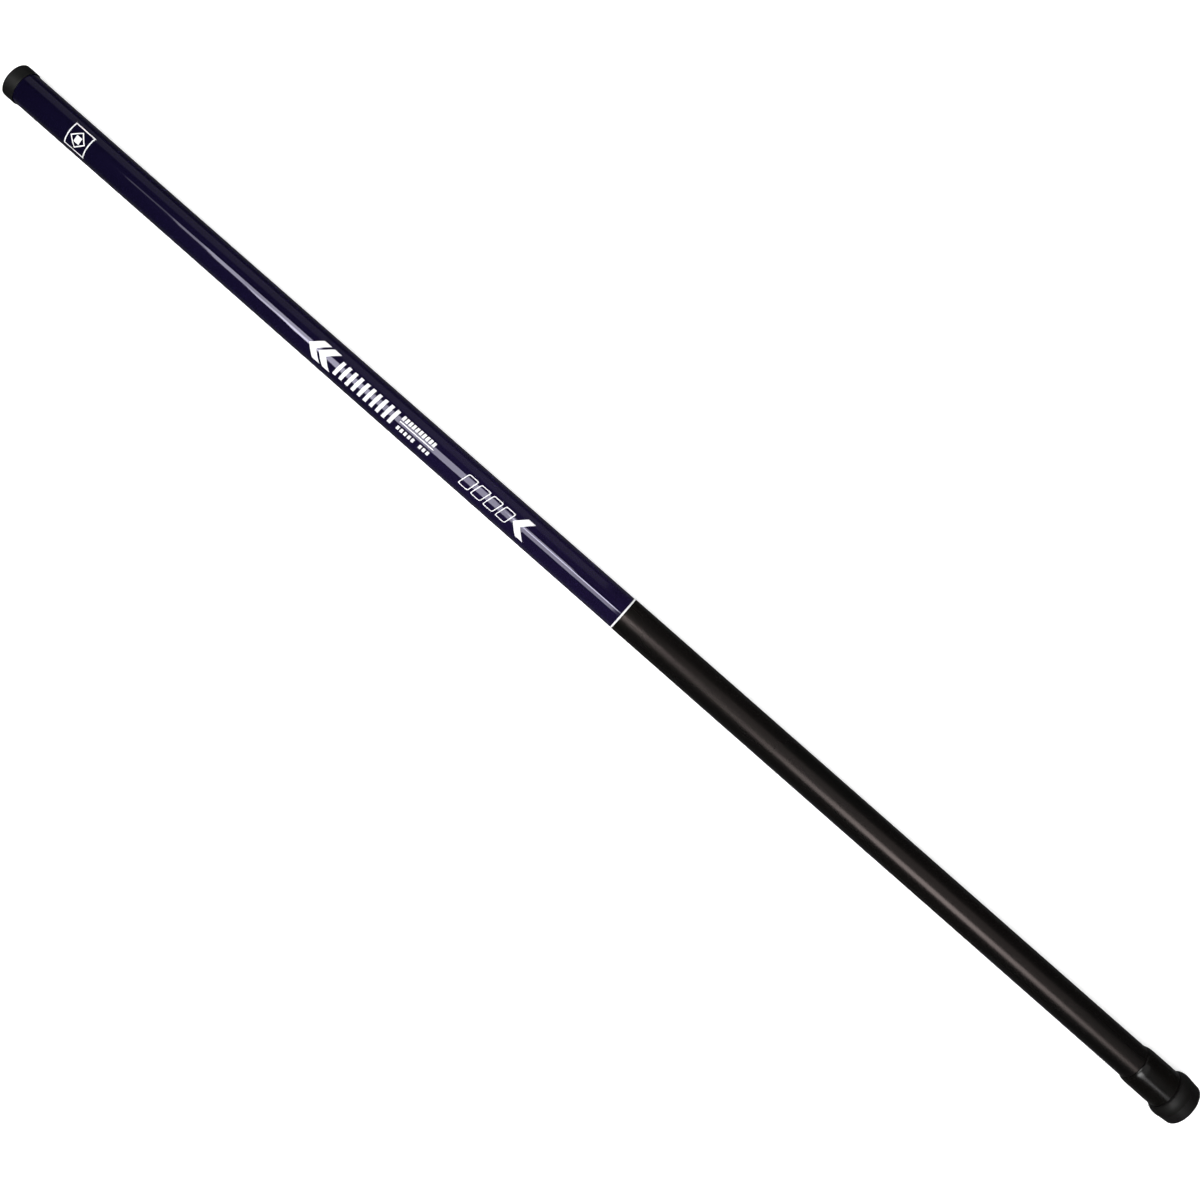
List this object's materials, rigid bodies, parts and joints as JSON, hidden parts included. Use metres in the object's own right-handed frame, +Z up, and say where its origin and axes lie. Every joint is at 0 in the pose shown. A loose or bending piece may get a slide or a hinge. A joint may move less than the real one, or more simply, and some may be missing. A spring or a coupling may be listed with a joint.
{
  "type": "telescopic fishing pole",
  "caption": "Collapsed telescopic whip fishing pole: tapered lacquered handle with nested draw-out sections, line connector, screw-on butt cap and push-on tip cap.",
  "frame": {"origin": "centre of the butt cap's flat end face", "axes": "+X along the pole towards the tip, the way the sections draw out; +Z up when the pole lies flat"},
  "size_m": [1.17, 0.0378, 0.0378],
  "materials": {
    "lacquered_blank": "deep indigo lacquer over glass composite, high gloss",
    "grip_coat": "matte black anti-slip sleeve",
    "white_trim": "white painted band",
    "collar_plastic": "black moulded ferrule, satin",
    "bush_plastic": "dark grey moulded thread",
    "cap_plastic": "black moulded plastic, satin",
    "pad_rubber": "black rubber, matte",
    "seal_rubber": "black nitrile",
    "tip_cap_rubber": "black soft plastic, matte",
    "foam": "dark grey closed-cell foam",
    "section_composite": "dark wrapped composite, clear gloss",
    "ground_wrap": "ground composite, matte grey",
    "winding_thread": "indigo thread winding under epoxy",
    "connector_plastic": "black moulded plastic",
    "sleeve_steel": "brushed steel tube"
  },
  "bodies": {
    "handle": {"handle_blank": "lacquered_blank", "grip_sleeve": "grip_coat", "trim_ring": "white_trim", "butt_collar": "collar_plastic", "collar_bush": "bush_plastic", "mouth_winding": "winding_thread"},
    "cap_seal": {"o_ring": "seal_rubber"},
    "butt_cap": {"cap_plug": "bush_plastic", "cap_ring": "cap_plastic", "end_pad": "pad_rubber", "cushion_disc": "foam"},
    "section_2": {"section_2_blank": "section_composite", "section_2_base_wrap": "ground_wrap", "section_2_winding": "winding_thread"},
    "section_3": {"section_3_blank": "section_composite", "section_3_base_wrap": "ground_wrap", "section_3_winding": "winding_thread"},
    "section_4": {"section_4_blank": "section_composite", "section_4_base_wrap": "ground_wrap", "section_4_winding": "winding_thread"},
    "tip_section": {"tip_blank": "section_composite", "tip_base_wrap": "ground_wrap", "line_connector": "connector_plastic"},
    "connector_lock": {"connector_sleeve": "sleeve_steel"},
    "tip_cap": {"tip_cap_shell": "tip_cap_rubber", "tip_cap_liner": "foam"}
  },
  "joints": [
    {"name": "section_2_draw", "type": "slide", "parent": "handle", "child": "section_2", "axis": [1, 0, 0], "range_m": [0, 1.0224]},
    {"name": "section_3_draw", "type": "slide", "parent": "section_2", "child": "section_3", "axis": [1, 0, 0], "range_m": [0, 0.989]},
    {"name": "section_4_draw", "type": "slide", "parent": "section_3", "child": "section_4", "axis": [1, 0, 0], "range_m": [0, 0.979]},
    {"name": "tip_section_draw", "type": "slide", "parent": "section_4", "child": "tip_section", "axis": [1, 0, 0], "range_m": [0, 0.969]},
    {"name": "line_lock_slide", "type": "slide", "parent": "tip_section", "child": "connector_lock", "axis": [-1, 0, 0], "range_m": [0, 0.0055]},
    {"name": "tip_cap_pull", "type": "slide", "parent": "tip_section", "child": "tip_cap", "axis": [1, 0, 0], "range_m": [0, 0.08]},
    {"name": "butt_cap_lift", "type": "slide", "parent": "handle", "child": "cap_seal", "axis": [-1, 0, 0], "range_m": [0, 0.009]},
    {"name": "butt_cap_turn", "type": "hinge", "parent": "cap_seal", "child": "butt_cap", "pos_m": [0, 0, 0], "axis": [-1, 0, 0], "range_deg": [0, 1620]}
  ],
  "couplings": [
    {"joint": "butt_cap_lift", "follows": "butt_cap_turn", "m_per_rad": 0.00031831}
  ]
}
